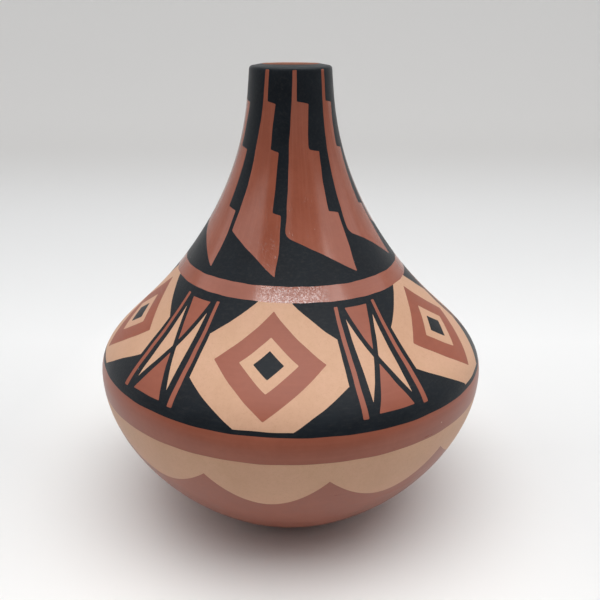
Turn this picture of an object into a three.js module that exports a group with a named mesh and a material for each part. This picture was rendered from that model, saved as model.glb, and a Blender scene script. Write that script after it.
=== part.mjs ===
// A hand-coiled pueblo pottery vase. A base moulded in a bowl carries coils of clay, each lapped down over
// the inside of the one below it, up through a wide belly to a narrow neck and a thick lip.
// Millimetres, +Z up. The origin is the centre of the flat foot, and the vase stands on Z = 0.
import * as THREE from "three";

// Outline of the outer wall: radius and height of the points that it passes through
const HEIGHT = 140;
const FOOT_RADIUS = 22.5;
const BELLY_RADIUS = 60.1;
const BELLY_HEIGHT = 49.7;
const SHOULDER_RADIUS = 30.5;
const SHOULDER_HEIGHT = 86.5;
const LIP_RADIUS = 11.8;

// Slopes of the outline at those points, in degrees above the horizontal. It is upright at the belly.
const UNDERSIDE_ANGLE = 18;
const SHOULDER_ANGLE = 54.8;
const LIP_ANGLE = 83.8;

// How far the outline holds each slope, as a share of the straight line to the next point
const UNDERSIDE_HOLD = 0.17;
const BOWL_HOLD = 0.39;
const BELLY_HOLD = 0.23;
const SHOULDER_HOLD = 0.585;
const NECK_HOLD = 0.525;
const LIP_HOLD = 0.225;

// Clay thickness, which thins evenly from the floor to the lip
const FLOOR_THICKNESS = 6;
const LIP_THICKNESS = 4.3;

// The lip: its top falls outwards, and both its edges are rounded
const LIP_FALL = 0.6;
const LIP_OUTER_ROUND = 1.3;
const LIP_INNER_ROUND = 0.9;

// Joints between coils: the lap down the inside of the coil below, and the ridge that each coil leaves inside
const LAP = 2.5;
const COIL_RIDGE = 0.45;

// Rise of each painted zone, one on another from the table up. The neck takes what the rim leaves.
const BASE_RISE = 16.5;
const BOWL_RISE = 29.7;
const BELLY_RISE = 7.5;
const SHOULDER_RISE = 26.7;
const COLLAR_RISE = 3.7;
const RIM_RISE = 8;

// Coils in the zones that need more than one
const BOWL_COILS = 3;
const SHOULDER_COILS = 4;
const NECK_COILS = 5;

// Fineness of the faceted surface: facets round the axis, the longest step along the wall, steps in a corner
const FACETS = 48;
const WALL_STEP = 4.4;
const CORNER_STEPS = 3;

// Stone-polished red slip, matt cream slip and matt black paint over the clay
const RED_SLIP = { color: 0x9a5443, roughness: 0.42, metalness: 0 };
const CREAM_SLIP = { color: 0xd0a585, roughness: 0.72, metalness: 0 };
const BLACK_PAINT = { color: 0x26282a, roughness: 0.6, metalness: 0 };

// A stretch of the outline between two points, each { at, slope, hold } with the slope in degrees.
function outlineStretch(from, to) {
  const chord = from.at.distanceTo(to.at);
  const leave = THREE.MathUtils.degToRad(from.slope);
  const arrive = THREE.MathUtils.degToRad(to.slope);
  const fromHandle = new THREE.Vector2(Math.cos(leave), Math.sin(leave));
  const toHandle = new THREE.Vector2(Math.cos(arrive), Math.sin(arrive));
  return new THREE.CubicBezierCurve(
    from.at,
    fromHandle.multiplyScalar(from.hold * chord).add(from.at),
    toHandle.multiplyScalar(-to.hold * chord).add(to.at),
    to.at,
  );
}

// The outer wall, from the edge of the foot to the corner of the lip.
function outerWall() {
  const foot = new THREE.Vector2(FOOT_RADIUS, 0);
  const belly = new THREE.Vector2(BELLY_RADIUS, BELLY_HEIGHT);
  const shoulder = new THREE.Vector2(SHOULDER_RADIUS, SHOULDER_HEIGHT);
  const lip = new THREE.Vector2(LIP_RADIUS, HEIGHT - LIP_FALL);
  const wall = new THREE.CurvePath();
  wall.add(
    outlineStretch(
      { at: foot, slope: UNDERSIDE_ANGLE, hold: UNDERSIDE_HOLD },
      { at: belly, slope: 90, hold: BOWL_HOLD },
    ),
  );
  wall.add(
    outlineStretch(
      { at: belly, slope: 90, hold: BELLY_HOLD },
      { at: shoulder, slope: 180 - SHOULDER_ANGLE, hold: SHOULDER_HOLD },
    ),
  );
  wall.add(
    outlineStretch(
      { at: shoulder, slope: 180 - SHOULDER_ANGLE, hold: NECK_HOLD },
      { at: lip, slope: 180 - LIP_ANGLE, hold: LIP_HOLD },
    ),
  );
  return wall;
}

const wall = outerWall();
const wallLength = wall.getLength();

// A point of the outer face, at a distance along the wall from the foot.
function outerAt(along) {
  return wall.getPoint(along / wallLength);
}

// The point of the inner face opposite it, through the clay's thickness there and any ridge on it.
function innerAt(along, ridge = 0) {
  const share = along / wallLength;
  const point = wall.getPoint(share);
  const tangent = wall.getTangent(share);
  const depth = THREE.MathUtils.lerp(FLOOR_THICKNESS, LIP_THICKNESS, share) + ridge;
  return new THREE.Vector2(point.x - tangent.y * depth, point.y + tangent.x * depth);
}

// The distance along the wall at which the outer face reaches a height.
function alongAtHeight(height) {
  let low = 0;
  let high = wallLength;
  while (high - low > 1e-6) {
    const middle = (low + high) / 2;
    if (outerAt(middle).y < height) low = middle;
    else high = middle;
  }
  return low;
}

// Distances along the wall from one to another, in equal steps that are short enough.
function stepsAlong(start, end) {
  const steps = Math.max(2, Math.ceil(Math.abs(end - start) / WALL_STEP));
  return Array.from({ length: steps + 1 }, (_, i) => {
    return THREE.MathUtils.lerp(start, end, i / steps);
  });
}

function outerFace(start, end) {
  return stepsAlong(start, end).map((along) => outerAt(along));
}

// The inner face from the top of a coil down to its lap, swelling inwards between its two joints.
function innerFace(top, bottom, ridge = 0) {
  return stepsAlong(top, bottom).map((along) => {
    const share = (top - along) / (top - bottom);
    return innerAt(along, ridge * Math.sin(Math.PI * share));
  });
}

// A corner rounded off between a point on one of its sides and a point on the other.
function roundedCorner(from, corner, to) {
  return new THREE.QuadraticBezierCurve(from, corner, to).getPoints(CORNER_STEPS);
}

// A body of revolution about +Z from a profile in the (radius, height) plane.
function turned(name, profile, slip) {
  const geometry = new THREE.LatheGeometry(profile, FACETS);
  geometry.rotateX(Math.PI / 2);
  const mesh = new THREE.Mesh(geometry, new THREE.MeshStandardMaterial(slip));
  mesh.name = name;
  return mesh;
}

// The base: a flat foot, the curved underside that the mould gives it, and a level floor inside.
function makeBase(end) {
  const outer = outerFace(0, end);
  const inner = innerFace(end - LAP, 0);
  const footCentre = new THREE.Vector2(0, 0);
  const floorCentre = new THREE.Vector2(0, inner.at(-1).y);
  return turned("moulded_base", [footCentre, ...outer, ...inner, floorCentre], RED_SLIP);
}

// One coil of the wall, between two joints that slope down to the inside.
function makeCoil(name, start, end, slip) {
  const outer = outerFace(start, end);
  const inner = innerFace(end - LAP, start - LAP, COIL_RIDGE);
  return turned(name, [...outer, ...inner, outer[0].clone()], slip);
}

// The rim coil: the last coil, whose top is the lip.
function makeRim(start) {
  const mouthRadius = innerAt(wallLength).x;
  const outerCorner = outerAt(wallLength);
  const innerCorner = new THREE.Vector2(mouthRadius, HEIGHT);
  const crest = new THREE.Vector2(mouthRadius + LIP_INNER_ROUND, HEIGHT);
  const outward = outerCorner.clone().sub(crest).normalize();
  const outerEdge = outerCorner.clone().addScaledVector(outward, -LIP_OUTER_ROUND);
  const outer = outerFace(start, wallLength - LIP_OUTER_ROUND);
  const inner = innerFace(wallLength - LIP_INNER_ROUND, start - LAP);
  return turned(
    "rim_coil",
    [
      ...outer,
      ...roundedCorner(outer.at(-1), outerCorner, outerEdge).slice(1),
      ...roundedCorner(crest, innerCorner, inner[0]),
      ...inner.slice(1),
      outer[0].clone(),
    ],
    BLACK_PAINT,
  );
}

// The coils of one painted zone share its length of wall equally. A single coil takes the zone's name alone.
function makeZone(zone, start, end) {
  const pitch = (end - start) / zone.coils;
  return Array.from({ length: zone.coils }, (_, i) => {
    const coilEnd = i === zone.coils - 1 ? end : start + pitch * (i + 1);
    const name = zone.coils > 1 ? `${zone.name}_${i + 1}` : zone.name;
    return makeCoil(name, start + pitch * i, coilEnd, zone.slip);
  });
}

function makeVase() {
  const bowlTop = BASE_RISE + BOWL_RISE;
  const bellyTop = bowlTop + BELLY_RISE;
  const shoulderTop = bellyTop + SHOULDER_RISE;
  const collarTop = shoulderTop + COLLAR_RISE;
  const zones = [
    { name: "bowl_coil", coils: BOWL_COILS, top: bowlTop, slip: CREAM_SLIP },
    { name: "belly_coil", coils: 1, top: bellyTop, slip: RED_SLIP },
    { name: "shoulder_coil", coils: SHOULDER_COILS, top: shoulderTop, slip: CREAM_SLIP },
    { name: "collar_coil", coils: 1, top: collarTop, slip: RED_SLIP },
    { name: "neck_coil", coils: NECK_COILS, top: HEIGHT - RIM_RISE, slip: BLACK_PAINT },
  ];

  const vase = new THREE.Group();
  let reached = alongAtHeight(BASE_RISE);
  vase.add(makeBase(reached));
  for (const zone of zones) {
    const zoneEnd = alongAtHeight(zone.top);
    vase.add(...makeZone(zone, reached, zoneEnd));
    reached = zoneEnd;
  }
  vase.add(makeRim(reached));
  return vase;
}

export default makeVase();
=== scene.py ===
import math

import bpy
import numpy as np
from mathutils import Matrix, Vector, noise
from mathutils.geometry import delaunay_2d_cdt


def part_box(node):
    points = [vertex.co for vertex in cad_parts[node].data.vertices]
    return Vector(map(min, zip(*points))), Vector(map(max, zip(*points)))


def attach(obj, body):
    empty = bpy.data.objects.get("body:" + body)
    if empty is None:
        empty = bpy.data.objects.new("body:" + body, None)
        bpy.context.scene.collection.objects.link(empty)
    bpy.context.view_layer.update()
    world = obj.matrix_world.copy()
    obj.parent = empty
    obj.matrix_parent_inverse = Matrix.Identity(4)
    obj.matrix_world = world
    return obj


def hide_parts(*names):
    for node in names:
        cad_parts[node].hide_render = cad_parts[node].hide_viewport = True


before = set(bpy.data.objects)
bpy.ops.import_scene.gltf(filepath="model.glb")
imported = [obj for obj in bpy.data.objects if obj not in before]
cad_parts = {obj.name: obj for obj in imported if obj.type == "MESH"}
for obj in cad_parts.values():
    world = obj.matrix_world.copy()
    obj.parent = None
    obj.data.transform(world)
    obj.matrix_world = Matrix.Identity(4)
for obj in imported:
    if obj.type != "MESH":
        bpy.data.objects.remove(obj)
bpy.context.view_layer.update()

# Lengths are millimetres and turns are degrees until a mesh is made. A turn is counted from the front, and
# is positive to the right. A place on the wall is a turn and a distance along the wall from the foot's edge.
MM = 0.001

# Outline of the outer wall: radius and height of the points that it passes through
HEIGHT = 140
FOOT_RADIUS = 22.5
BELLY_RADIUS = 60.1
BELLY_HEIGHT = 49.7
SHOULDER_RADIUS = 30.5
SHOULDER_HEIGHT = 86.5
LIP_RADIUS = 11.8

# Slopes of the outline at those points, above the horizontal, and how far it holds each slope
UNDERSIDE_ANGLE = 18
SHOULDER_ANGLE = 54.8
LIP_ANGLE = 83.8
UNDERSIDE_HOLD = 0.17
BOWL_HOLD = 0.39
BELLY_HOLD = 0.23
SHOULDER_HOLD = 0.585
NECK_HOLD = 0.525
LIP_HOLD = 0.225

# Clay: its thickness, the lip's edges, and the laps and ridges that the coils leave inside
FLOOR_THICKNESS = 6
LIP_THICKNESS = 4.3
LIP_FALL = 0.6
LIP_OUTER_ROUND = 0.8
LIP_INNER_ROUND = 0.9
LAP = 2.5
COIL_RIDGE = 0.45

# Heights of the painted rings, and how far each one leans up (or down, below zero) to the right
BELLY_BAND_FOOT = (46.2, 0.12)
BELLY_BAND_TOP = (53.67, -0.5)
COLLAR_FOOT = (80.43, -0.35)
COLLAR_TOP = (84.06, -0.2)
BELLY_LINE_WIDTH = 1.25

# Where the red slip of the underside starts along the wall, and the height at which the neck's design ends
UNDERSIDE_EDGE = 1.7
NECK_TOP = 139.1

# Where the black paint ends past the lip's crest, how much further the brush ran at the sides and in front,
# and how much less far behind
MOUTH_EDGE = -0.25
MOUTH_EDGE_SIDES = 0.5
MOUTH_EDGE_FRONT = 0.35
MOUTH_EDGE_BACK = 0.75

# Slip and paint: how thick it lies on the clay, and how much a brushed edge wanders
COAT = 0.1
BRUSH_WANDER = 0.16
UNDERSIDE_WANDER = 0.5
MOUTH_WANDER = 0.22

# The waves of a brushed edge: how often each one goes round the vase, and its phase
BRUSH_WAVES = ((5, 0.3), (9, 1.9), (14, 4.1), (23, 2.6), (37, 5.2))

# The noise that moves the drawn motifs: the size of its waves, its step from one motif to the next, and where
# the neck and the shoulder start. It would follow the time of day without a seed of its own.
HAND_STRIDE = 5
HAND_CHANNEL = 7.3
NECK_CHANNEL = 20
SHOULDER_CHANNEL = 40
HAND_SEED = 5
noise.seed_set(HAND_SEED)

# How far the coiled wall dips in from a true round, over what height the dips fade out at the foot and at the
# lip, and the radius inside which they fade out
WALL_DIP = 0.25
DIP_FADE = 12
AXIS_FADE = 10

# Their waves: how often each goes round, the rise over which it turns by a radian, its phase and its weight
DIP_WAVES = ((2, 31, 0, 1), (3, -19, 1.3, 1), (5, 11, 0.4, 0.6), (2, 5.5, 0, 0.4))

# How the clay makes room for its coat: in full up to the lip, in part over it, and not at all at the foot's
# edge and at the coat's end in the mouth, over lengths from these and from the crest
FOOT_FADE = 1.4
CREST_FADE_START = 2.2
CREST_FADE_END = 1.2
MOUTH_FADE = 0.3
LIP_SHARE = 0.3

# Fineness of the meshes. Where the rim's rows turn fine is counted back from the lip's corner.
TURN_STEP = 1
ROW_STEP = 1.5
CLAY_COLUMNS = 144
OUTLINE_STEPS = 400
ROUND_STEPS = 24
LIP_TOP_POINTS = 20
LIP_COAT_ROWS = 20
RIM_COARSE_END = 2
RIM_FINE_START = 1.9
RIM_FINE_STEP = 0.25
SHARP_ANGLE = 35

# Lengths that count as none: from the axis, and of a side
ON_AXIS = 1e-6
NO_LENGTH = 1e-9


# The outline

def stretch(start, end, start_slope, end_slope, start_hold, end_hold):
    """Points of a curve that leaves start and reaches end at the given slopes."""
    start, end = np.array(start, float), np.array(end, float)
    chord = np.linalg.norm(end - start)
    leave = math.radians(start_slope)
    arrive = math.radians(end_slope)
    first = start + start_hold * chord * np.array([math.cos(leave), math.sin(leave)])
    second = end - end_hold * chord * np.array([math.cos(arrive), math.sin(arrive)])
    t = np.linspace(0, 1, OUTLINE_STEPS + 1)[:, None]
    curve = (1 - t) ** 3 * start + 3 * (1 - t) ** 2 * t * first
    return curve + 3 * (1 - t) * t**2 * second + t**3 * end


def rounded(start, corner, end, steps=ROUND_STEPS):
    """Points of a corner rounded off between a point on one of its sides and a point on the other."""
    t = np.linspace(0, 1, steps + 1)[:, None]
    return (1 - t) ** 2 * start + 2 * (1 - t) * t * corner + t**2 * end


def distances(points):
    """The distance of each point along the line through them all."""
    steps = np.linalg.norm(np.diff(points, axis=0), axis=1)
    return np.concatenate([[0], np.cumsum(steps)])


def along_line(points, at, where):
    """Points of a line at the given distances, where at holds the distance of each of its own points."""
    return np.stack([np.interp(where, at, points[:, k]) for k in range(points.shape[1])], axis=-1)


def inward_normals(points):
    """For each point of a line drawn with the clay on its left, the direction into the clay."""
    tangent = np.gradient(points, axis=0)
    tangent /= np.linalg.norm(tangent, axis=1)[:, None]
    return np.stack([-tangent[:, 1], tangent[:, 0]], axis=-1)


def outer_wall():
    """The outer wall from the edge of the foot to the corner of the lip."""
    foot = (FOOT_RADIUS, 0)
    belly = (BELLY_RADIUS, BELLY_HEIGHT)
    shoulder = (SHOULDER_RADIUS, SHOULDER_HEIGHT)
    lip = (LIP_RADIUS, HEIGHT - LIP_FALL)
    bowl = stretch(foot, belly, UNDERSIDE_ANGLE, 90, UNDERSIDE_HOLD, BOWL_HOLD)
    turn_in = stretch(belly, shoulder, 90, 180 - SHOULDER_ANGLE, BELLY_HOLD, SHOULDER_HOLD)
    neck = stretch(shoulder, lip, 180 - SHOULDER_ANGLE, 180 - LIP_ANGLE, NECK_HOLD, LIP_HOLD)
    return np.concatenate([bowl, turn_in[1:], neck[1:]])


WALL = outer_wall()
WALL_AT = distances(WALL)
WALL_LENGTH = WALL_AT[-1]
CLAY_DEPTH = FLOOR_THICKNESS + (LIP_THICKNESS - FLOOR_THICKNESS) * WALL_AT / WALL_LENGTH
INNER_WALL = WALL + inward_normals(WALL) * CLAY_DEPTH[:, None]


def face_outline():
    """The face that slip and paint can lie on: up the outer wall, over the lip and into the mouth."""
    upright = WALL[WALL_AT < WALL_LENGTH - LIP_OUTER_ROUND]
    mouth = along_line(INNER_WALL, WALL_AT, [WALL_LENGTH - LIP_INNER_ROUND])[0]
    mouth_radius = INNER_WALL[-1][0]
    crest = np.array([mouth_radius + LIP_INNER_ROUND, HEIGHT])
    outer_corner = WALL[-1]
    fall = (outer_corner - crest) / np.linalg.norm(outer_corner - crest)
    outer_edge = outer_corner - fall * LIP_OUTER_ROUND
    outer_round = rounded(upright[-1], outer_corner, outer_edge)
    top = outer_edge + (crest - outer_edge) * np.linspace(0, 1, LIP_TOP_POINTS)[:, None]
    inner_round = rounded(crest, np.array([mouth_radius, HEIGHT]), mouth)
    return np.concatenate([upright, outer_round[1:], top[1:], inner_round[1:]])


FACE = face_outline()
CREST_INDEX = int(np.argmax(FACE[:, 1]))
FACE_AT = distances(FACE)
FACE_END = FACE_AT[-1]
FACE_NORMAL = inward_normals(FACE)
CREST_AT = FACE_AT[CREST_INDEX]


def wall_dip(turn, height):
    """How far the wall dips in from a true round, fading out at the foot and at the lip."""
    angle = np.radians(turn)
    waves = 0
    for order, rise, phase, weight in DIP_WAVES:
        waves = waves + weight * np.sin(order * angle + height / rise + phase)
    most = sum(weight for _, _, _, weight in DIP_WAVES)
    fade = np.clip(height / DIP_FADE, 0, 1) * np.clip((HEIGHT - height) / DIP_FADE, 0, 1)
    return WALL_DIP * fade * (most + waves) / (2 * most)


def bend_round(turn, radius, height):
    """Points in space from turns, radii and heights."""
    angle = np.radians(turn)
    radius = radius - wall_dip(turn, height) * np.clip(radius / AXIS_FADE, 0, 1)
    return np.stack([radius * np.sin(angle), -radius * np.cos(angle), height], axis=-1)


def on_face(turn, along, depth=0.0):
    """Points at a depth below the face."""
    at = along_line(FACE, FACE_AT, along)
    at = at + along_line(FACE_NORMAL, FACE_AT, along) * np.asarray(depth)[..., None]
    return bend_round(turn, at[..., 0], at[..., 1])


def face_normals(turn, along):
    """Outward normals of the face."""
    small = 0.05
    low = np.clip(along - small, 0, FACE_END)
    high = np.clip(along + small, 0, FACE_END)
    round_way = on_face(turn + small, along) - on_face(turn - small, along)
    up_way = on_face(turn, high) - on_face(turn, low)
    normal = np.cross(round_way, up_way)
    return normal / np.linalg.norm(normal, axis=-1)[..., None]


def along_at(height):
    """The distance along the outer face at which it reaches a height."""
    rising = slice(0, CREST_INDEX + 1)
    return np.interp(height, FACE[rising, 1], FACE_AT[rising])


# Edges of the painted rings, each an array of distances along the wall at these turns

TURNS = np.arange(-180, 180, TURN_STEP)


def brushed(edge, channel, wander=BRUSH_WANDER):
    """An edge with the small waves of a brush, which close up round the vase."""
    angle = np.radians(TURNS)
    waves = sum(np.sin(order * angle + phase * (channel + 1)) for order, phase in BRUSH_WAVES)
    return edge + wander * waves / len(BRUSH_WAVES)


def ring(height_and_lean, channel):
    """The edge of a painted ring from its height and its lean."""
    height, lean = height_and_lean
    return brushed(along_at(height + lean * np.sin(np.radians(TURNS))), channel)


def mouth_edge():
    """The end of the black paint in the mouth, as the brush left it all round."""
    angle = np.radians(TURNS)
    edge = CREST_AT + MOUTH_EDGE + MOUTH_EDGE_SIDES * np.sin(angle) ** 2
    edge += MOUTH_EDGE_FRONT * np.clip(np.cos(angle), 0, 1) ** 2
    edge -= MOUTH_EDGE_BACK * np.clip(-np.cos(angle), 0, 1) ** 2
    return edge


# Meshes

def add_object(name, data):
    """A new object in the scene."""
    made = bpy.data.objects.new(name, data)
    bpy.context.scene.collection.objects.link(made)
    return made


def finish_mesh(name, points, faces, normals=None):
    """A mesh object in metres from points in millimetres, with a normal for each face corner."""
    mesh = bpy.data.meshes.new(name)
    mesh.from_pydata((points * MM).tolist(), [], faces)
    mesh.shade_smooth()
    if normals is not None:
        mesh.normals_split_custom_set(normals.tolist())
    return add_object(name, mesh)


def border_edges(faces):
    """The edges that only one face has, each in that face's own direction."""
    edges = {(a, b) for face in faces for a, b in zip(face, face[1:] + face[:1])}
    return [(a, b) for a, b in edges if (b, a) not in edges]


def coat_piece(name, places, faces):
    """A closed skin of slip or paint from a flat pattern of places on the wall."""
    turn, along = places[:, 0], places[:, 1]
    outer = on_face(turn, along)
    inner = on_face(turn, along, np.full(len(turn), COAT))
    count = len(places)
    under = [tuple(count + i for i in reversed(face)) for face in faces]
    sides = [(b, a, count + a, count + b) for a, b in sorted(border_edges(faces))]
    points = np.concatenate([outer, inner])
    normal = face_normals(turn, along)
    above, below = [i for face in faces for i in face], [i - count for face in under for i in face]
    normals = [normal[above], -normal[below]]
    for side in sides:
        across = np.cross(points[side[1]] - points[side[0]], points[side[2]] - points[side[1]])
        across /= max(np.linalg.norm(across), NO_LENGTH)
        normals.append(np.tile(across, (len(side), 1)))
    return finish_mesh(name, points, list(faces) + under + sides, np.concatenate(normals))


def band_pattern(lower, upper, rows):
    """A grid right round the vase between two edges."""
    along = lower + (upper - lower) * np.linspace(0, 1, rows + 1)[:, None]
    columns = len(TURNS)
    places = np.stack([np.broadcast_to(TURNS, along.shape), along], axis=-1).reshape(-1, 2)
    faces = []
    for row in range(rows):
        for column in range(columns):
            a = row * columns + column
            b = row * columns + (column + 1) % columns
            faces.append((a, b, b + columns, a + columns))
    return places.astype(float), faces


def rows_for(lower, upper):
    """How many rows of faces a band between two edges needs."""
    return max(2, math.ceil(float(np.max(upper - lower)) / ROW_STEP))


# Painted motifs: loops of (turn, distance along the wall), each with a colour, later ones over earlier ones

# The most of a side that a rounded corner takes, the steps that it has, and the longest step of a loop
CORNER_SHARE = 0.4
CORNER_STEPS = 4
MOTIF_STEP = 1.2

# The triangulation: how near inner points come to a loop, when two points are one, and what it returns
EDGE_GAP = 0.3
SAME_POINT = 1e-5
SAME_TURN = 1e-3
INSIDE_ONLY = 1


def round_corners(loop, radii, scale):
    """The loop with each corner cut to a small curve. Scale is millimetres per degree of turn."""
    points = np.array(loop, float) * (scale, 1)
    made = []
    for i, corner in enumerate(points):
        before, after = points[i - 1], points[(i + 1) % len(points)]
        back, forth = before - corner, after - corner
        back_length, forth_length = np.linalg.norm(back), np.linalg.norm(forth)
        reach = min(radii[i], back_length * CORNER_SHARE, forth_length * CORNER_SHARE)
        start = corner + back / back_length * reach
        end = corner + forth / forth_length * reach
        made.extend(rounded(start, corner, end, CORNER_STEPS))
    return np.array(made)


def subdivide(loop, step):
    """The loop with points added, so that no side of it is longer than step."""
    made = []
    for a, b in zip(loop, np.roll(loop, -1, axis=0)):
        pieces = max(1, math.ceil(np.linalg.norm(b - a) / step))
        made.extend(a + (b - a) * i / pieces for i in range(pieces))
    return np.array(made)


def anticlockwise(loop):
    """The loop in the direction that the triangulation takes for the inside."""
    ahead = np.roll(loop, -1, axis=0)
    twice_area = np.sum(loop[:, 0] * ahead[:, 1] - ahead[:, 0] * loop[:, 1])
    return loop if twice_area > 0 else loop[::-1]


def hand_drawn(loop, channel):
    """The loop in short steps, shifted by the small waves of a hand."""
    loop = subdivide(loop, MOTIF_STEP)
    depth = channel * HAND_CHANNEL
    shifts = [noise.noise_vector(Vector((x / HAND_STRIDE, y / HAND_STRIDE, depth))) for x, y in loop]
    return loop + BRUSH_WANDER * np.array([(shift.x, shift.y) for shift in shifts])


def far_from(points, loops, gap):
    """The points at least gap away from every side of the loops."""
    keep = np.ones(len(points), bool)
    for loop in loops:
        low, high = loop.min(axis=0) - gap, loop.max(axis=0) + gap
        near = np.nonzero(keep & np.all((points > low) & (points < high), axis=1))[0]
        if not len(near):
            continue
        side = np.roll(loop, -1, axis=0) - loop
        length_squared = np.maximum((side**2).sum(axis=1), NO_LENGTH**2)
        to_point = points[near][:, None, :] - loop[None]
        share = np.clip((to_point * side).sum(axis=2) / length_squared, 0, 1)
        apart = np.linalg.norm(to_point - share[..., None] * side, axis=2).min(axis=1)
        keep[near[apart < gap]] = False
    return points[keep]


def zone_edges(lower, upper, cut):
    """Turns from the cut right round to it again, and the zone's two edges at each."""
    start = int(round((cut + 180) / TURN_STEP)) % len(TURNS)
    turns = cut + np.arange(len(TURNS) + 1) * TURN_STEP
    closed = list(range(len(TURNS))) + [0]
    return turns, np.roll(lower, -start)[closed], np.roll(upper, -start)[closed]


def zone_outline(turns, low, high, rows):
    """The opened zone's outline, from its lower edge round to its left side."""
    side = low[0] + (high[0] - low[0]) * rows
    right, left = np.full(len(side), turns[-1]), np.full(len(side), turns[0])
    turn = np.concatenate([turns, right, turns[::-1], left])
    return np.stack([turn, np.concatenate([low, side, high[::-1], side[::-1]])], axis=-1)


def zone_points(turns, low, high, rows, spacing):
    """Points in rows inside the opened zone, every other row shifted by half a space."""
    points = []
    for number, share in enumerate(rows):
        row = np.arange(turns[0] + spacing * (1 + number % 2) / 2, turns[-1], spacing)
        row_low = np.interp(row, turns, low)
        row_high = np.interp(row, turns, high)
        points.append(np.stack([row, row_low + (row_high - row_low) * share], axis=-1))
    return np.concatenate(points)


def motifs_between(motifs, left, right, scale):
    """Each motif as often as it reaches in between two turns."""
    shown = []
    for paint, loop in motifs:
        for shift in (-360, 0, 360):
            moved = anticlockwise(loop + (shift * scale, 0))
            if moved[:, 0].max() > left * scale and moved[:, 0].min() < right * scale:
                shown.append((paint, moved))
    return shown


def side_welds(places, left, right):
    """Which place on the opened zone's left side each place on its right side is one with."""
    left_side = np.nonzero(np.abs(places[:, 0] - left) < SAME_TURN)[0]
    right_side = np.nonzero(np.abs(places[:, 0] - right) < SAME_TURN)[0]
    apart = np.abs(places[right_side, 1][:, None] - places[left_side, 1][None])
    return dict(zip(right_side.tolist(), left_side[apart.argmin(axis=1)].tolist()))


def used_pattern(places, faces):
    """The places that the faces use, and the faces numbered to match."""
    used = sorted({i for face in faces for i in face})
    number = {old: new for new, old in enumerate(used)}
    return places[used], [tuple(number[i] for i in face) for face in faces]


def painted_zone(lower, upper, cut, ground, motifs, scale, rows, spacing):
    """Splits the zone between two edges into one flat pattern for each colour: {colour: (places, faces)}.
    The zone is opened at the turn named cut. Rows are the shares of its height with inner points."""
    turns, low, high = zone_edges(lower, upper, cut)
    outline = zone_outline(turns, low, high, rows) * (scale, 1)
    shown = motifs_between(motifs, turns[0], turns[-1], scale)
    loops = [outline] + [loop for _, loop in shown]
    inner = zone_points(turns, low, high, rows, spacing) * (scale, 1)
    inner = far_from(inner, loops, EDGE_GAP)

    points = [Vector(p) for loop in loops for p in loop] + [Vector(p) for p in inner]
    starts = np.cumsum([0] + [len(loop) for loop in loops])
    faces = [list(range(a, b)) for a, b in zip(starts, starts[1:])]
    corners, _, triangles, _, _, sources = delaunay_2d_cdt(points, [], faces, INSIDE_ONLY, SAME_POINT, True)

    places = np.array([(p.x / scale, p.y) for p in corners])
    weld = side_welds(places, turns[0], turns[-1])
    colours = [ground] + [paint for paint, _ in shown]
    chosen = {}
    for triangle, source in zip(triangles, sources):
        if 0 in source:
            face = tuple(weld.get(i, i) for i in triangle)
            chosen.setdefault(colours[max(source)], []).append(face)
    return {paint: used_pattern(places, faces) for paint, faces in chosen.items()}


# The neck: stepped feathers in red slip, left bare by the black paint. Each starts as a slit under the lip.
# Turn of the slit, how far the left edge drifts back on its way down, and the round of the lower left corner
FEATHERS = (
    (-88, -1.0, 0.4),
    (-35, 7.9, 0.4),
    (2.4, 6.0, 2.4),
    (45, 3.2, 2.4),
    (86, 6.0, 1.0),
    (126, 7.0, 0.4),
    (165, 5.5, 1.8),
    (204, 7.5, 0.5),
    (244, 5.0, 2.2),
)
FEATHER_GAP = 3.6

# The slit: how wide it is, how high it starts and ends, and how much it narrows on its way down
SLIT_TURN = 5.6
SLIT_TOP = 138.85
SLIT_FOOT = 130.6
SLIT_NARROWING = 0.4

# Rounds of its corners: a sharp one, a gentle bend, and the inner step, which follows the foot's corner
SHARP = 0.35
GENTLE = 1.5
INNER_STEP_ROUND = 0.3

# The left edge down to its corner, as shares of the drift and heights
LEFT_EDGE = ((0.15, 131), (0.32, 127), (0.56, 122), (0.7, 118), (0.76, 110), (0.9, 102))
LEFT_CORNER_HEIGHT = 95.8

# The slanted foot from that corner to the tip, as shares of the way across and of the way down
FOOT_CURVE = ((0.3, 0.225), (0.56, 0.47), (0.79, 0.73))

# The right edge from the tip up, as shares of the feather's width and heights, with the round of each corner
RIGHT_EDGE = (
    (0.965, 86.1, SHARP),
    (1.01, 94.8, GENTLE),
    (1, 101, SHARP),
    (0.77, 101.6, SHARP),
    (0.78, 110, GENTLE),
    (0.815, 117.3, SHARP),
)
INNER_STEP = (0.475, 118.0)
TOP_STEPS = ((0.5, 124, GENTLE), (0.575, 130, SHARP))

# The neck's zone: where it is opened, the radius that its pattern is flattened at, and its inner points
NECK_CUT = 118
NECK_FLAT_RADIUS = 20
NECK_SCALE = NECK_FLAT_RADIUS * math.pi / 180
NECK_SPACING = 3
NECK_ROWS = np.concatenate([np.arange(1, 36) / 37, np.arange(0.955, 0.999, 0.006)])


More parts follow.
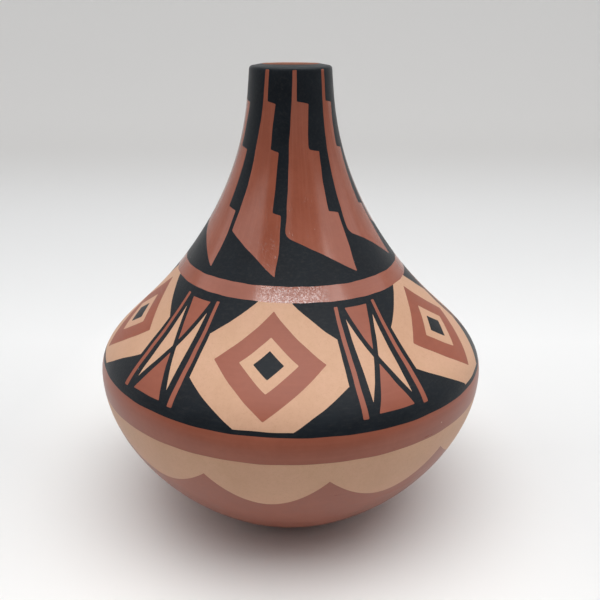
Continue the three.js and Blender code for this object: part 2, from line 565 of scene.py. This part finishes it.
def feather(start, drift, corner, width):
    """One feather's loop: down the left edge, along the foot to the tip, and up the steps on the right.
    A point is a turn, a height and its corner's round until the loop is laid on the wall."""
    left = start - drift
    slit = start + SLIT_TURN
    steps = (*RIGHT_EDGE, (*INNER_STEP, INNER_STEP_ROUND * (1 + corner)), *TOP_STEPS)
    right = [(start + width * share, height, size) for share, height, size in steps]
    tip_turn, tip_height, _ = right[0]
    loop = [(start, SLIT_TOP, SHARP)]
    loop += [(start - drift * share, height, GENTLE) for share, height in LEFT_EDGE]
    loop.append((left, LEFT_CORNER_HEIGHT, corner))
    for across, down in FOOT_CURVE:
        height = LEFT_CORNER_HEIGHT + (tip_height - LEFT_CORNER_HEIGHT) * down
        loop.append((left + (tip_turn - left) * across, height, GENTLE))
    loop += right
    loop += [(slit - SLIT_NARROWING, SLIT_FOOT, SHARP), (slit, SLIT_TOP, SHARP)]
    on_wall = [(turn, along_at(height)) for turn, height, _ in loop]
    return round_corners(on_wall, [size for _, _, size in loop], NECK_SCALE)


def neck_motifs():
    """The loops of the feathers, each as wide as the next one leaves it room for."""
    motifs = []
    for number, (start, drift, corner) in enumerate(FEATHERS):
        last = number + 1 == len(FEATHERS)
        next_start, next_drift, _ = FEATHERS[0 if last else number + 1]
        next_start += 360 if last else 0
        width = next_start - start - next_drift - FEATHER_GAP
        loop = feather(start, drift, corner, width)
        motifs.append(("red", hand_drawn(loop, NECK_CHANNEL + number)))
    return motifs


# The shoulder: wide cream panels that each hold a nest of lozenges, between narrow black panels
PANELS = 5
PANEL_TURN = 360 / PANELS
FIRST_PANEL = -7
BLACK_HALF = 12
CREAM_HALF = PANEL_TURN / 2 - BLACK_HALF

# The nest: half its width and half its height, as a share of the zone's, and the size of each lozenge in it
LOZENGE_TURN = 18.5
LOZENGE_RISE = 0.43
LOZENGES = (("red", 1), ("cream", 0.52), ("black", 0.27))

# A cream panel's black corners: the turn that they start at, and the share of its side that they leave open.
# What fills a panel to its edges runs past them, by a share of the height and by a turn.
CORNER_TURN = 7.5
CORNER_OPENING = 0.34
OVERRUN_SHARE = 0.1
OVERRUN_TURN = 1

# Outlines in a black panel, as turns from its middle and shares of the zone's height
RED_BAR = ((8.7, 0.05), (10.3, 0.05), (10.3, 0.95), (8.7, 0.95))
CREAM_BLADE = ((6.4, 0.16), (6.4, 0.84), (0.9, 0.5))
RED_WEDGES = (((-5.6, 0.07), (5.6, 0.07), (0, 0.44)), ((5.6, 0.93), (-5.6, 0.93), (0, 0.56)))

# The shoulder's zone: where it is opened, the radius that its pattern is flattened at, its inner points, and
# the round of its motifs' corners
SHOULDER_CUT = round(FIRST_PANEL + PANEL_TURN / 2)
SHOULDER_FLAT_RADIUS = 47
SHOULDER_SCALE = SHOULDER_FLAT_RADIUS * math.pi / 180
SHOULDER_SPACING = 2
SHOULDER_ROWS = np.arange(1, 24) / 24
SHOULDER_ROUND = 0.3


def shoulder_motifs(lower, upper):
    """The loops of the shoulder's design, panel by panel."""
    low, high = float(np.mean(lower)), float(np.mean(upper))
    motifs = []

    def add(paint, middle, points, side=1):
        on_wall = [(middle + side * turn, low + (high - low) * share) for turn, share in points]
        loop = round_corners(on_wall, [SHOULDER_ROUND] * len(on_wall), SHOULDER_SCALE)
        motifs.append((paint, hand_drawn(loop, SHOULDER_CHANNEL + len(motifs))))

    below, above = -OVERRUN_SHARE, 1 + OVERRUN_SHARE
    outside = CREAM_HALF + OVERRUN_TURN
    for number in range(PANELS):
        cream_middle = FIRST_PANEL + number * PANEL_TURN
        for paint, size in LOZENGES:
            turn, rise = LOZENGE_TURN * size, LOZENGE_RISE * size
            add(paint, cream_middle, [(-turn, 0.5), (0, 0.5 - rise), (turn, 0.5), (0, 0.5 + rise)])
        for side in (-1, 1):
            for past, edge in ((below, 0), (above, 1)):
                opening = 0.5 + (edge - 0.5) * CORNER_OPENING
                points = [(outside, opening), (CORNER_TURN, edge), (CORNER_TURN, past), (outside, past)]
                add("black", cream_middle, points, side)
        black_middle = cream_middle + PANEL_TURN / 2
        panel = [(-BLACK_HALF, below), (BLACK_HALF, below), (BLACK_HALF, above), (-BLACK_HALF, above)]
        add("black", black_middle, panel)
        for side in (-1, 1):
            add("red", black_middle, RED_BAR, side)
            add("cream", black_middle, CREAM_BLADE, side)
        for wedge in RED_WEDGES:
            add("red", black_middle, wedge)
    return motifs


# The cream band's scalloped edge: turns and height of the cusps, and how deep and how round each arc hangs
CUSPS = (-60, -23, 10, 46, 83, 119, 155, 192, 228, 264)
CUSP_HEIGHT = 39.8
SCALLOP_DROPS = (8.3, 9.4, 9.3, 9.0, 8.8, 9.6, 8.9, 9.3, 8.6, 9.1)
SCALLOP_POWER = 1.9


def scallop_edge():
    """The edge between the red slip of the underside and the cream band."""
    heights = np.zeros(len(TURNS))
    for number, cusp in enumerate(CUSPS):
        after = CUSPS[(number + 1) % len(CUSPS)]
        span = (after - cusp) % 360
        past = (TURNS - cusp) % 360
        inside = past < span
        across = 2 * past[inside] / span - 1
        heights[inside] = CUSP_HEIGHT - SCALLOP_DROPS[number] * (1 - np.abs(across) ** SCALLOP_POWER)
    return along_at(heights)


# The clay, coil by coil

def turned_piece(name, profile):
    """A body of revolution from a closed profile of (radius, height), which may start and end on the axis."""
    columns = np.arange(CLAY_COLUMNS) * 360 / CLAY_COLUMNS
    rings, points = [], []
    for radius, height in profile:
        if radius < ON_AXIS:
            rings.append([len(points)] * CLAY_COLUMNS)
            points.append((0, 0, height))
        else:
            rings.append(list(range(len(points), len(points) + CLAY_COLUMNS)))
            level = np.full(CLAY_COLUMNS, height)
            points.extend(bend_round(columns, np.full(CLAY_COLUMNS, radius), level))
    starts_on_axis = profile[0][0] < ON_AXIS
    pairs = list(zip(rings, rings[1:])) + ([] if starts_on_axis else [(rings[-1], rings[0])])
    faces = []
    for lower, upper in pairs:
        for i in range(CLAY_COLUMNS):
            j = (i + 1) % CLAY_COLUMNS
            face = [lower[i], lower[j], upper[j], upper[i]]
            faces.append(tuple(dict.fromkeys(face)))
    piece = finish_mesh(name, np.array(points, float), faces)
    piece.data.set_sharp_from_angle(angle=math.radians(SHARP_ANGLE))
    return piece


def steps_between(start, end, step=ROW_STEP):
    """Distances from start to end, in even steps of about the given length."""
    return np.linspace(start, end, max(2, math.ceil(abs(end - start) / step)) + 1)


def clay_outer(start, end):
    """The clay's outer side under its coat."""
    along = steps_between(start, end)
    if end > CREST_AT:
        coarse = steps_between(start, WALL_LENGTH - RIM_COARSE_END)
        fine = steps_between(WALL_LENGTH - RIM_FINE_START, end, RIM_FINE_STEP)
        along = np.concatenate([coarse, fine])
    room = (
        (0, 0),
        (FOOT_FADE, 1),
        (CREST_AT - CREST_FADE_START, 1),
        (CREST_AT - CREST_FADE_END, LIP_SHARE),
        (FACE_END - MOUTH_FADE, LIP_SHARE),
        (FACE_END, 0),
    )
    cover = np.interp(along, *zip(*room))
    at = along_line(FACE, FACE_AT, along)
    return at + along_line(FACE_NORMAL, FACE_AT, along) * (COAT * cover)[:, None]


def clay_inner(top, bottom, ridge):
    """The clay's inner side from the top of a coil down to its lap, swelling between its two joints."""
    along = steps_between(top, bottom)
    swell = ridge * np.sin(np.pi * (top - along) / (top - bottom))
    at = along_line(INNER_WALL, WALL_AT, along)
    return at + along_line(inward_normals(WALL), WALL_AT, along) * swell[:, None]


def make_clay():
    """One piece of clay for each node, between the joints that the node's own box gives."""
    pieces = []
    tops = {node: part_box(node)[1].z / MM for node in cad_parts}
    order = sorted(tops, key=tops.get)
    start = 0.0
    for node in order:
        base = node == order[0]
        rim = node == order[-1]
        end = FACE_END if rim else float(along_at(tops[node]))
        outer = clay_outer(start, end)
        top = WALL_LENGTH - LIP_INNER_ROUND if rim else end - LAP
        bottom = 0 if base else start - LAP
        inner = clay_inner(top, bottom, 0 if base or rim else COIL_RIDGE)
        if base:
            outer = np.concatenate([[(0, 0)], outer])
            inner = np.concatenate([inner, [(0, inner[-1][1])]])
        if rim:
            inner = inner[1:]
        piece = turned_piece("clay_" + node, np.concatenate([outer, inner]))
        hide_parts(node)
        pieces.append(piece)
        start = end
    return pieces


# Materials

# The range that holds most of the values of a noise
MIDDLE = (0.3, 0.7)

# The radius, in metres, at which streaks are as long round the vase as their shares say
STREAK_RADIUS = 0.03


class Nodes:
    """The node tree of a material or of the world, with short ways to add what they share."""

    def __init__(self, owner, shader):
        owner.use_nodes = True
        self.owner = owner
        self.tree = owner.node_tree
        self.shader = self.tree.nodes[shader]
        self.coordinates = self.add("ShaderNodeTexCoord").outputs
        self.place = self.coordinates["Object"]

    def join(self, value, socket):
        """Links the value to the socket if it comes from a node, and otherwise writes it there."""
        if isinstance(value, bpy.types.NodeSocket):
            self.tree.links.new(value, socket)
        else:
            socket.default_value = value

    def add(self, kind, inputs=(), **settings):
        made = self.tree.nodes.new(kind)
        for key, value in settings.items():
            setattr(made, key, value)
        for key, value in dict(inputs).items():
            self.join(value, made.inputs[key])
        return made

    def set(self, socket, value):
        self.join(value, self.shader.inputs[socket])

    def maths(self, operation, a, b=0.0):
        return self.add("ShaderNodeMath", {0: a, 1: b}, operation=operation).outputs[0]

    def vector(self, operation, *values):
        made = self.add("ShaderNodeVectorMath", dict(enumerate(values)), operation=operation)
        return made.outputs["Value" if operation == "LENGTH" else "Vector"]

    def noise(self, size, detail=4, roughness=0.6, where=None):
        """Noise from 0 to 1 whose patches are about size millimetres across."""
        inputs = {
            "Vector": self.place if where is None else where,
            "Scale": 1 / (size * MM),
            "Detail": detail,
            "Roughness": roughness,
        }
        return self.add("ShaderNodeTexNoise", inputs).outputs["Fac"]

    def spread(self, value, low, high, out_low=0.0, out_high=1.0, kind="LINEAR"):
        """The value's range from low to high, stretched to another range and held inside it."""
        ends = {"Value": value, "From Min": low, "From Max": high, "To Min": out_low, "To Max": out_high}
        return self.add("ShaderNodeMapRange", ends, clamp=True, interpolation_type=kind).outputs[0]

    def mix(self, share, a, b):
        """A colour between a and b."""
        made = self.add("ShaderNodeMix", data_type="RGBA")
        for number, value in ((0, share), (6, a), (7, b)):
            self.join(value, made.inputs[number])
        return made.outputs[2]

    def laid_over(self, base, value, low, high, strength, over):
        """The base colour with another over it, the more so the nearer the value is to high."""
        return self.mix(self.maths("MULTIPLY", self.spread(value, low, high), strength), base, over)

    def relief(self, *layers):
        """Gives the surface relief in layers of (heights from 0 to 1, depth in millimetres)."""
        under = {}
        for height, depth in layers:
            inputs = {"Strength": 1.0, "Height": height, "Distance": depth * MM, **under}
            under = {"Normal": self.add("ShaderNodeBump", inputs).outputs[0]}
        self.set("Normal", under["Normal"])

    def wrapped(self, round_share, up_share):
        """A place for streaks: the way from the axis and the height, each scaled for itself."""
        way = self.vector("NORMALIZE", self.vector("MULTIPLY", self.place, (1, 1, 0)))
        turned = self.vector("MULTIPLY", way, (STREAK_RADIUS * round_share,) * 3)
        return self.vector("ADD", turned, self.vector("MULTIPLY", self.place, (0, 0, up_share)))


def surface(name):
    """The nodes of a new material."""
    return Nodes(bpy.data.materials.new(name), "Principled BSDF")


def colour(red, green, blue):
    """A colour written as on a screen, from 0 to 255, as the renderer's linear colour."""
    parts = []
    for part in (red, green, blue):
        share = part / 255
        parts.append(share / 12.92 if share <= 0.04045 else ((share + 0.055) / 1.055) ** 2.4)
    return (*parts, 1)


# The share of its places that hold a speck, and the step of chance between none and one
SPECK_SHARE = 0.3
SPECK_STEP = 0.02


def specks(n, spacing, size):
    """A mask of scattered round specks: how far apart the places are, and how wide a speck is."""
    cells = n.add("ShaderNodeTexVoronoi", {"Vector": n.place, "Scale": 1 / (spacing * MM)}).outputs
    chance = n.add("ShaderNodeSeparateColor", {0: cells["Color"]}).outputs[0]
    edge = size / spacing / 2
    dot = n.spread(cells["Distance"], edge, edge * 0.5)
    return n.maths("MULTIPLY", dot, n.spread(chance, 1 - SPECK_SHARE, 1 - SPECK_SHARE + SPECK_STEP))


# Mica in the polished slip: its flakes' width, how strongly and how sharply they mirror, the step of chance
# between none and one, and the share of its reach over which it shows in full
FLAKE_SIZE = 0.19
FLAKE_IOR = 2.6
FLAKE_ROUGHNESS = 0.08
FLAKE_STEP = 0.08
FULL_REACH = 0.6


def mica(n, share, shine, reach, tilt):
    """Flakes of mica in a share of the places, each tilted, shown where the slip faces the eye."""
    flakes = n.add("ShaderNodeTexVoronoi", {"Vector": n.place, "Scale": 1 / (FLAKE_SIZE * MM)}).outputs
    chance = n.add("ShaderNodeSeparateColor", {0: flakes["Color"]}).outputs[0]
    flake = n.spread(chance, 1 - share, 1 - share + FLAKE_STEP)
    facing = n.add("ShaderNodeLayerWeight", {"Blend": 0.5}).outputs["Facing"]
    shown = n.spread(facing, reach * FULL_REACH, reach, shine, 0.0)
    n.set("Coat Weight", n.maths("MULTIPLY", flake, shown))
    n.set("Coat IOR", FLAKE_IOR)
    n.set("Coat Roughness", FLAKE_ROUGHNESS)
    lean = n.vector("MULTIPLY_ADD", flakes["Color"], (tilt,) * 3, (-tilt / 2,) * 3)
    face = n.add("ShaderNodeNewGeometry").outputs["Normal"]
    n.set("Coat Normal", n.vector("NORMALIZE", n.vector("ADD", face, lean)))


# The highlights of the slips are a little warm
RED_GLOSS = (1.0, 0.92, 0.88, 1)
CREAM_GLOSS = (1.0, 0.87, 0.73, 1)


def red_slip(name, roughness, gloss, flakes=None, up_the_wall=False):
    """Red slip: mottled, streaked the way the stone or brush went, with mica where it is polished."""
    n = surface(name)
    mottle = n.noise(size=14, roughness=0.55)
    fine = n.noise(size=1.6)
    way = n.wrapped(1, 0.05) if up_the_wall else n.wrapped(0.04, 1)
    streaks = n.noise(size=1.1, detail=3, where=way)
    base = n.mix(n.spread(mottle, *MIDDLE), colour(148, 79, 58), colour(161, 90, 68))
    base = n.laid_over(base, fine, 0.35, 0.75, 0.35, colour(139, 73, 54))
    base = n.laid_over(base, streaks, 0.45, 0.75, 0.3, colour(170, 100, 79))
    base = n.mix(specks(n, spacing=7, size=0.5), base, colour(205, 176, 158))
    n.set("Base Color", base)
    if flakes:
        mica(n, **flakes)
    mixed = n.maths("ADD", n.maths("MULTIPLY", mottle, 0.5), n.maths("MULTIPLY", streaks, 0.5))
    n.set("Roughness", n.spread(mixed, *MIDDLE, roughness, roughness * 1.5))
    n.set("Specular IOR Level", gloss)
    n.set("Specular Tint", RED_GLOSS)
    n.relief((streaks, 0.003), (n.noise(size=0.4, detail=2), 0.004))
    return n.owner


def cream_slip():
    """Matt cream slip, laid on by brush over the clay."""
    n = surface("cream_slip")
    mottle = n.noise(size=18, roughness=0.55)
    tint = n.noise(size=9, detail=3, roughness=0.5)
    fine = n.noise(size=1.3)
    grain = n.noise(size=0.45, detail=2)
    base = n.mix(n.spread(mottle, *MIDDLE), colour(206, 161, 131), colour(217, 175, 144))
    base = n.laid_over(base, tint, 0.4, 0.7, 0.35, colour(214, 166, 141))
    base = n.laid_over(base, fine, 0.35, 0.75, 0.3, colour(197, 151, 122))
    base = n.laid_over(base, grain, 0.55, 0.8, 0.4, colour(184, 136, 108))
    base = n.mix(specks(n, spacing=8, size=0.4), base, colour(164, 112, 92))
    n.set("Base Color", base)
    n.set("Roughness", n.spread(mottle, *MIDDLE, 0.4, 0.52))
    n.set("Specular IOR Level", 0.4)
    n.set("Specular Tint", CREAM_GLOSS)
    brush_marks = n.noise(size=1.1, detail=3)
    n.relief((brush_marks, 0.02), (n.noise(size=0.3, detail=2), 0.012))
    return n.owner


def black_paint(name, greying=0.0):
    """Matt black paint, a little thin in places, and paler in patches of grey where greying is given."""
    n = surface(name)
    cloud = n.noise(size=9)
    fine = n.noise(size=0.9, roughness=0.65)
    strokes = n.noise(size=0.55, roughness=0.65, where=n.wrapped(0.4, 1))
    base = n.mix(n.spread(cloud, *MIDDLE), colour(11, 17, 24), colour(19, 26, 33))
    base = n.laid_over(base, fine, 0.5, 0.8, 0.35, colour(44, 44, 44))
    base = n.laid_over(base, strokes, 0.5, 0.75, 0.4, colour(50, 50, 49))
    base = n.mix(specks(n, spacing=6, size=0.45), base, colour(112, 118, 120))
    # Patches of grey mixed into the black, which leave the paint paler where they lie
    if greying:
        grey_patches = n.noise(size=0.8, detail=5, roughness=0.7)
        base = n.mix(n.spread(grey_patches, 0.35, 0.7, greying * 0.25, greying), base, colour(78, 82, 81))
    n.set("Base Color", base)
    n.set("Roughness", n.spread(cloud, *MIDDLE, 0.4, 0.52))
    n.set("Specular IOR Level", 0.2)
    n.set("Sheen Weight", 0.12)
    n.set("Sheen Roughness", 0.4)
    brush_marks = n.noise(size=0.9, detail=3)
    n.relief((brush_marks, 0.03), (n.noise(size=0.25, detail=2), 0.02))
    return n.owner


def fired_clay():
    """The bare clay, scraped round inside while it was damp."""
    n = surface("fired_clay")
    mottle = n.noise(size=12, roughness=0.55)
    grain = n.noise(size=0.5, roughness=0.65)
    scraped = n.noise(size=0.9, roughness=0.65, where=n.wrapped(0.06, 1))
    base = n.mix(n.spread(mottle, *MIDDLE), colour(136, 92, 75), colour(152, 106, 88))
    n.set("Base Color", n.laid_over(base, grain, 0.5, 0.75, 0.5, colour(118, 78, 63)))
    n.set("Roughness", n.spread(mottle, *MIDDLE, 0.8, 0.92))
    n.set("Specular IOR Level", 0.3)
    n.relief((scraped, 0.12), (grain, 0.05))
    return n.owner


COLLAR_MICA = {"share": 0.45, "shine": 0.85, "reach": 0.1, "tilt": 0.08}
NECK_MICA = {"share": 0.12, "shine": 0.3, "reach": 0.2, "tilt": 0.32}
RED_COLLAR = red_slip("red_slip_collar", roughness=0.12, gloss=0.95, flakes=COLLAR_MICA)
RED_NECK = red_slip("red_slip_neck", roughness=0.12, gloss=0.9, flakes=NECK_MICA, up_the_wall=True)
RED_BOWL = red_slip("red_slip_bowl", roughness=0.26, gloss=0.58)
RED_PAINT = red_slip("red_slip_brushed", roughness=0.36, gloss=0.5)
CREAM = cream_slip()
BLACK = black_paint("black_paint")
# The lip's black paint, paler in patches of grey over the lip
LIP_BLACK = black_paint("greyed_black_paint", greying=0.24)
CLAY = fired_clay()


# The pieces

def finish_piece(piece, material):
    """Gives a piece its material, and lets it ride on the vase's one body."""
    piece.data.materials.append(material)
    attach(piece, "root")


def make_coats():
    """The pieces of slip and paint, from the foot up."""
    foot_edge = brushed(np.full(len(TURNS), UNDERSIDE_EDGE), 1, UNDERSIDE_WANDER)
    scallops = scallop_edge()
    band_foot = ring(BELLY_BAND_FOOT, 2)
    band_top = ring(BELLY_BAND_TOP, 3)
    line_top = brushed(band_top + BELLY_LINE_WIDTH, 4)
    collar_foot = ring(COLLAR_FOOT, 5)
    collar_top = ring(COLLAR_TOP, 6)
    neck_top = np.full(len(TURNS), float(along_at(NECK_TOP)))
    lip_end = brushed(mouth_edge(), 7, MOUTH_WANDER)

    bands = (
        ("red_underside_slip", foot_edge, scallops, RED_BOWL),
        ("cream_scallop_band", scallops, band_foot, CREAM),
        ("red_belly_band", band_foot, band_top, RED_BOWL),
        ("black_belly_line", band_top, line_top, BLACK),
        ("red_collar_band", collar_foot, collar_top, RED_COLLAR),
        ("black_lip_paint", neck_top, lip_end, LIP_BLACK),
    )
    patterns = []
    for name, lower, upper, material in bands:
        rows = LIP_COAT_ROWS if upper is lip_end else rows_for(lower, upper)
        patterns.append((name, band_pattern(lower, upper, rows), material))

    motifs = shoulder_motifs(line_top, collar_foot)
    settings = (SHOULDER_CUT, "cream", motifs, SHOULDER_SCALE, SHOULDER_ROWS, SHOULDER_SPACING)
    shoulder = painted_zone(line_top, collar_foot, *settings)
    settings = (NECK_CUT, "black", neck_motifs(), NECK_SCALE, NECK_ROWS, NECK_SPACING)
    neck = painted_zone(collar_top, neck_top, *settings)
    patterns += [
        ("shoulder_cream_slip", shoulder["cream"], CREAM),
        ("shoulder_red_motifs", shoulder["red"], RED_PAINT),
        ("shoulder_black_motifs", shoulder["black"], BLACK),
        ("neck_red_feathers", neck["red"], RED_NECK),
        ("neck_black_paint", neck["black"], BLACK),
    ]
    for name, (places, faces), material in patterns:
        finish_piece(coat_piece(name, places, faces), material)


for clay in make_clay():
    finish_piece(clay, CLAY)
make_coats()


# Table and backdrop: one pale sweep, in metres

SWEEP_HALF_WIDTH = 2.0
SWEEP_FRONT = -2.0
SWEEP_BEND = 0.3
BEND_RADIUS = 0.5
SWEEP_TOP = 1.6
BEND_STEPS = 24

# A painted pool of light: the table is palest in an oval at the vase, given by a stretch and a shift, and
# greyer round it, where the painted light falls off
TABLE_IN_LIGHT_POOL = colour(251, 250, 247)
TABLE_PAST_LIGHT_POOL = colour(233, 233, 232)
LIGHT_POOL_STRETCH = (1.6, 0.6, 0)
LIGHT_POOL_SHIFT = (0.015, 0, 0)
LIGHT_POOL_FADE = (0.06, 0.17)

# The rising part is darker: painted shade, standing for the light that falls off up the wall
RISE_SHADE_TONE = colour(205, 203, 200)
RISE_SHADE_FADE = (-0.01, 0.045)

# The part in front is darker too, but not to the camera: it lights the vase less
FRONT_TONE = colour(144, 140, 136)
FRONT_FADE = (-0.1, -0.16)
FRONT_SHARES = (0.2, 1.0)

# A faint glow, seen only by the camera and in gloss, makes up for light that the far part lacks: its strength
# and where it grows, on the far table, in the bend and on the rising part
FAR_GLOW = 0.11
FAR_GLOW_GROWS = (0.02, 0.12)
BEND_GLOW = 0.055
BEND_GLOW_GROWS = (0.0, 0.07)
RISE_GLOW = 0.055
RISE_GLOW_GROWS = (0.04, 0.2)


def backdrop_paper():
    """The sweep's pale paper, with a painted pool of light at the vase and painted shade up the rise."""
    n = surface("backdrop_paper")
    _, distance, height = n.add("ShaderNodeSeparateXYZ", {0: n.place}).outputs
    rays = n.add("ShaderNodeLightPath").outputs
    seen = rays["Is Camera Ray"]
    away = n.vector("LENGTH", n.vector("MULTIPLY_ADD", n.place, LIGHT_POOL_STRETCH, LIGHT_POOL_SHIFT))
    # Painted pool of light: the table's colour is palest at the vase and greyer away from it
    table = n.mix(n.spread(away, *LIGHT_POOL_FADE), TABLE_IN_LIGHT_POOL, TABLE_PAST_LIGHT_POOL)
    # Painted shade: the colour darkens up the rising part
    pale = n.mix(n.spread(height, *RISE_SHADE_FADE, kind="SMOOTHSTEP"), table, RISE_SHADE_TONE)
    unseen = n.maths("SUBTRACT", 1.0, seen)
    front = n.maths("MULTIPLY", n.spread(distance, *FRONT_FADE, *FRONT_SHARES), unseen)
    n.set("Base Color", n.mix(front, pale, FRONT_TONE))
    n.set("Roughness", 0.9)
    far = n.spread(distance, *FAR_GLOW_GROWS, 0.0, FAR_GLOW)
    bend = n.spread(height, *BEND_GLOW_GROWS, 0.0, BEND_GLOW, "SMOOTHSTEP")
    rise = n.spread(height, *RISE_GLOW_GROWS, 0.0, RISE_GLOW)
    glow = n.maths("ADD", n.maths("ADD", far, bend), rise)
    n.set("Emission Color", (1, 1, 1, 1))
    n.set("Emission Strength", n.maths("MULTIPLY", n.maths("MAXIMUM", seen, rays["Is Glossy Ray"]), glow))
    return n.owner


def make_backdrop():
    """The sweep: a table that bends up into a wall."""
    profile = [(SWEEP_FRONT, 0.0), (SWEEP_BEND, 0.0)]
    for i in range(1, BEND_STEPS + 1):
        angle = math.radians(90 * i / BEND_STEPS)
        back = SWEEP_BEND + BEND_RADIUS * math.sin(angle)
        profile.append((back, BEND_RADIUS * (1 - math.cos(angle))))
    profile.append((SWEEP_BEND + BEND_RADIUS, SWEEP_TOP))
    points = [(x, y, z) for y, z in profile for x in (-SWEEP_HALF_WIDTH, SWEEP_HALF_WIDTH)]
    faces = [(2 * i, 2 * i + 1, 2 * i + 3, 2 * i + 2) for i in range(len(profile) - 1)]
    mesh = bpy.data.meshes.new("backdrop")
    mesh.from_pydata(points, [], faces)
    mesh.shade_smooth()
    mesh.materials.append(backdrop_paper())
    add_object("backdrop", mesh)


make_backdrop()


# Light: a panel overhead, and a room of walls, a ceiling and a dim opening

# The panel, in metres and watts, aimed a hair off straight down to lie square to the picture
PANEL_PLACE = (0.06, -0.105, 0.45)
PANEL_AIM = (0.06, -0.1045, 0.0)
PANEL_WIDTH = 0.58
PANEL_DEPTH = 0.34
PANEL_WATTS = 1.06

# The room's walls: their brightness low down and high up, and the heights between, in front and at the sides,
# which start at these turns. A height here is the sine of the angle above the horizontal.
WALL_LOW = 0.145
WALL_HIGH = 0.9
FRONT_WALL_RISE = (0.38, 0.5)
SIDE_WALL_RISE = (0.05, 0.4)
SIDE_WALL_TURNS = (80, 100)

# The ceiling: its brightness at its edge and overhead, the heights between, and where it starts
CEILING_EDGE = 1.5
CEILING = 1.8
CEILING_RISE = (0.82, 0.95)
CEILING_START = (0.77, 0.8)

# The dim opening in front, round the camera: its brightness low down and high up, the heights between,
# and the wall's share of it at these turns, with a pale strip inside the opening
OPENING_LOW = 0.22
OPENING = 0.08
OPENING_FALL = (0.2, 0.4)
OPENING_EDGES = ((-50, 1), (-44, 0), (-17, 0), (-14, 0.45), (-3, 0.45), (0, 0), (47, 0), (54, 1))

ROOM_COLOUR = (0.97, 0.98, 1, 1)


def make_panel():
    """The soft panel overhead."""
    lamp = bpy.data.lights.new("overhead_panel", "AREA")
    lamp.shape = "RECTANGLE"
    lamp.size = PANEL_WIDTH
    lamp.size_y = PANEL_DEPTH
    lamp.energy = PANEL_WATTS
    panel = add_object("overhead_panel", lamp)
    panel.location = PANEL_PLACE
    way = Vector(PANEL_AIM) - Vector(PANEL_PLACE)
    panel.rotation_euler = way.to_track_quat("-Z", "Y").to_euler()
    panel.visible_camera = False


def opening_share(n, turn):
    """The wall's share of the brightness, by a turn that runs from 0 to 1 and is half at the front."""
    ramp = n.add("ShaderNodeValToRGB", {0: turn})
    stops = ramp.color_ramp.elements
    while len(stops) < len(OPENING_EDGES):
        stops.new(0.5)
    for stop, (degrees, share) in zip(stops, OPENING_EDGES):
        stop.position = degrees / 360 + 0.5
        stop.color = (share, share, share, 1)
    return ramp.outputs[0]


def make_world():
    """The room, as brightness by the direction that one looks in."""
    world = bpy.data.worlds.new("soft_room")
    bpy.context.scene.world = world
    n = Nodes(world, "Background")
    x, y, height = n.add("ShaderNodeSeparateXYZ", {0: n.coordinates["Generated"]}).outputs
    turn = n.maths("ARCTAN2", x, n.maths("MULTIPLY", y, -1.0))
    turn = n.spread(turn, -math.pi, math.pi)
    off_front = n.maths("ABSOLUTE", n.maths("SUBTRACT", turn, 0.5))
    above = n.spread(height, *CEILING_START)
    front_wall = n.spread(height, *FRONT_WALL_RISE, WALL_LOW, WALL_HIGH)
    side_wall = n.spread(height, *SIDE_WALL_RISE, WALL_LOW, WALL_HIGH)
    side_turns = [degrees / 360 for degrees in SIDE_WALL_TURNS]
    wall = n.spread(off_front, *side_turns, front_wall, side_wall)
    ceiling = n.spread(height, *CEILING_RISE, CEILING_EDGE, CEILING)
    room = n.spread(above, 0.0, 1.0, wall, ceiling)
    opening = n.spread(height, *OPENING_FALL, OPENING_LOW, OPENING)
    closed = n.maths("MAXIMUM", opening_share(n, turn), above)
    strength = n.spread(closed, 0.0, 1.0, opening, room)
    seen = n.add("ShaderNodeLightPath").outputs["Is Camera Ray"]
    n.set("Color", ROOM_COLOUR)
    n.set("Strength", n.spread(seen, 0.0, 1.0, strength, WALL_HIGH))


make_panel()
make_world()


# Camera: its place in metres, and how many degrees down it looks. The focal length and the vase's axis are
# measured in the photograph's pixels.
FOCAL_PIXELS = 717.6
PICTURE_PIXELS = 600
AXIS_PIXEL = 290.6
SENSOR_WIDTH = 36
CAMERA_PLACE = (0, -0.21432, 0.14913)
CAMERA_DOWN = 20.69
CLIP_START = 0.01


def make_camera():
    """The camera at the photograph's angle."""
    lens = bpy.data.cameras.new("camera")
    lens.sensor_width = SENSOR_WIDTH
    lens.lens = FOCAL_PIXELS / PICTURE_PIXELS * SENSOR_WIDTH
    lens.shift_x = (PICTURE_PIXELS / 2 - AXIS_PIXEL) / PICTURE_PIXELS
    lens.clip_start = CLIP_START
    camera = add_object("camera", lens)
    camera.location = CAMERA_PLACE
    camera.rotation_euler = (math.radians(90 - CAMERA_DOWN), 0, 0)
    bpy.context.scene.camera = camera


make_camera()
bpy.context.scene.view_settings.view_transform = "Standard"
